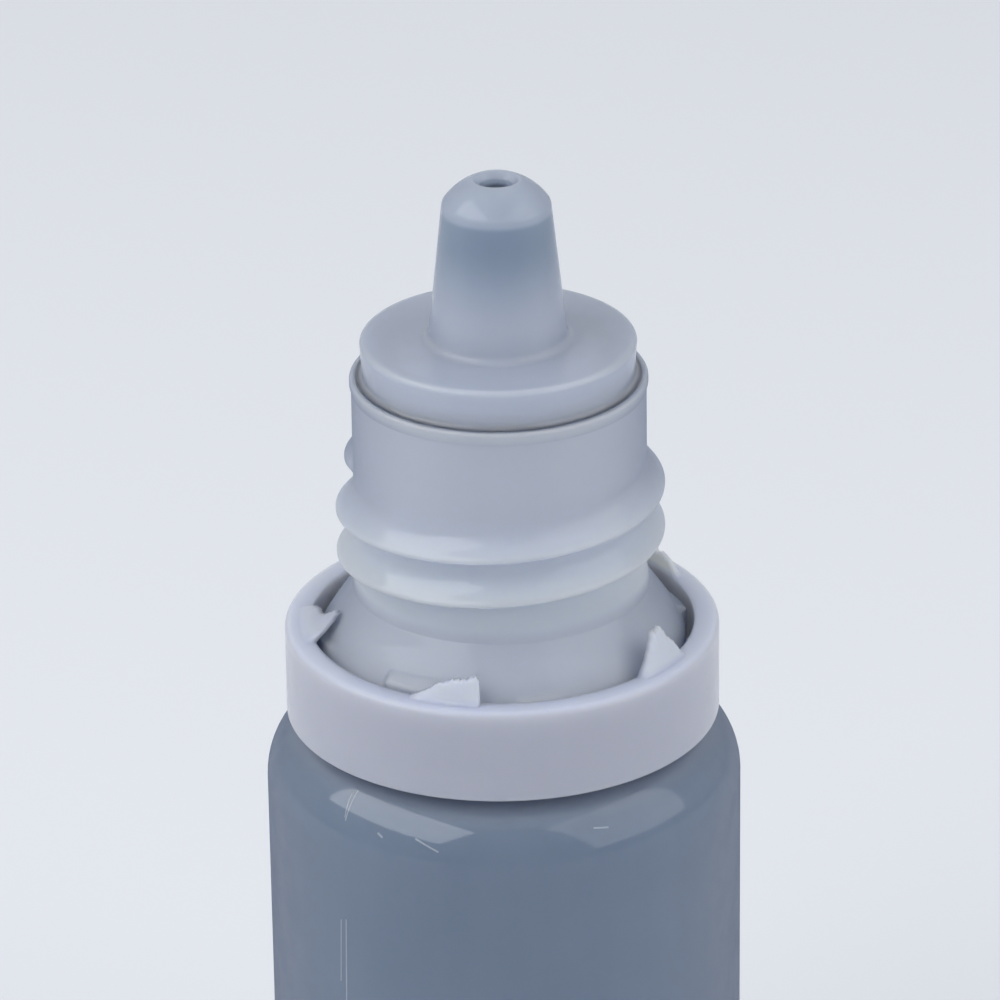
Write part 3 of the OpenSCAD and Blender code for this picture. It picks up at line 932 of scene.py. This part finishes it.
for piece, material, body, node, slot in (
    (bottle, bottleMaterial(), "bottle", "bottle", "bottle_plastic"),
    (ring, ringMaterial(), "ring", "tamper_ring", "ring_plastic"),
    (insert, insertMaterial(), "insert", "dropper_insert", "insert_plastic"),
):
    piece.data.materials.append(material)
    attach(piece, body)
    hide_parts(node)
print("materials on, pieces ride on their bodies")


# Floor, light and camera

stageLook = {
    "floor": linear(226, 228, 232),
    "floorRough": 0.8,
    "floorHalf": 4.0,                   # in metres
    "backdrop": linear(212, 215, 220),
    "lightLevel": 0.82,                 # of the backdrop's light on the object
    "lampAim": (0, 0, 0.045),           # the middle of the neck, in metres
}
# Turn from the camera's side and height in degrees, distance, width and height in m, power in W
lamps = {
    "leftBox": (-66, 43, 0.5, 0.62, 0.29, 1.4),
    "rightBox": (68, 33, 0.5, 0.53, 0.5, 0.92),
    "topBox": (0, 80, 0.5, 0.5, 0.5, 0.26),
}
# The photograph's camera: a long lens above the bottle, turned a little in its own view
cameraView = {
    "aim": (-0.000015, 0, 0.046),       # in metres
    "away": 0.29672,
    "elevation": 25.0,
    "roll": -0.79,
    "lens": 233.9,
    "sensor": 36,
    "clip": (0.01, 20),
}


def makeFloor():
    # one face, floorHalf to each side of the axis
    size = stageLook["floorHalf"]
    mesh = bpy.data.meshes.new("floor")
    mesh.from_pydata([(-size, -size, 0), (size, -size, 0), (size, size, 0), (-size, size, 0)],
                     [], [(0, 1, 2, 3)])
    floor = bpy.data.objects.new("floor", mesh)
    bpy.context.scene.collection.objects.link(floor)
    material, n, shader = startMaterial("paleFloor")
    shader.inputs["Base Color"].default_value = stageLook["floor"]
    shader.inputs["Roughness"].default_value = stageLook["floorRough"]
    mesh.materials.append(material)


def makeWorld():
    # The camera, mirrors and clear plastic see the backdrop at full strength, and it lights the
    # object at lightLevel
    world = bpy.data.worlds.new("softRoom")
    bpy.context.scene.world = world
    world.use_nodes = True
    n = nodeKit(world.node_tree)
    back = world.node_tree.nodes["Background"]
    back.inputs["Color"].default_value = stageLook["backdrop"]
    rays = n.add("ShaderNodeLightPath").outputs
    seen = n.math("MAXIMUM", rays["Is Camera Ray"], rays["Is Glossy Ray"])
    seen = n.math("MAXIMUM", seen, rays["Is Transmission Ray"])
    n.join(n.ramp(seen, 0.0, 1.0, stageLook["lightLevel"], 1.0), back.inputs["Strength"])


def softBox(name, azimuth, elevation, away, width, height, power):
    # A rectangular lamp at its aim + away x the direction (sine of the turn x cosine of the
    # height, - cosine x cosine, sine of the height), facing back along it
    aim = Vector(stageLook["lampAim"])
    a, e = math.radians(azimuth), math.radians(elevation)
    way = Vector((math.sin(a) * math.cos(e), -math.cos(a) * math.cos(e), math.sin(e)))
    lamp = bpy.data.lights.new(name, "AREA")
    lamp.shape, lamp.size, lamp.size_y, lamp.energy = "RECTANGLE", width, height, power
    holder = bpy.data.objects.new(name, lamp)
    facing = way.to_track_quat("Z", "Y").to_matrix().to_4x4()
    holder.matrix_world = Matrix.Translation(aim + way * away) @ facing
    bpy.context.scene.collection.objects.link(holder)


def makeCamera():
    # Place: the aim + away x the direction back. Its right and up are first level and square to
    # that, then mixed by the cosine and sine of the roll.
    c = cameraView
    e, roll = math.radians(c["elevation"]), math.radians(c["roll"])
    right, up = Vector((1, 0, 0)), Vector((0, math.sin(e), math.cos(e)))
    back = Vector((0, -math.cos(e), math.sin(e)))
    turnedRight = right * math.cos(roll) + up * math.sin(roll)
    turnedUp = up * math.cos(roll) - right * math.sin(roll)
    place = Vector(c["aim"]) + back * c["away"]
    data = bpy.data.cameras.new("photoView")
    data.lens, data.sensor_width = c["lens"], c["sensor"]
    data.clip_start, data.clip_end = c["clip"]
    camera = bpy.data.objects.new("photoView", data)
    camera.matrix_world = Matrix((
        (turnedRight.x, turnedUp.x, back.x, place.x),
        (turnedRight.y, turnedUp.y, back.y, place.y),
        (turnedRight.z, turnedUp.z, back.z, place.z),
        (0, 0, 0, 1)))
    bpy.context.scene.collection.objects.link(camera)
    bpy.context.scene.camera = camera


makeFloor()
makeWorld()
for name, settings in lamps.items():
    softBox(name, *settings)
makeCamera()
bpy.context.scene.view_settings.view_transform = "Standard"
print("floor, lamps and camera placed")
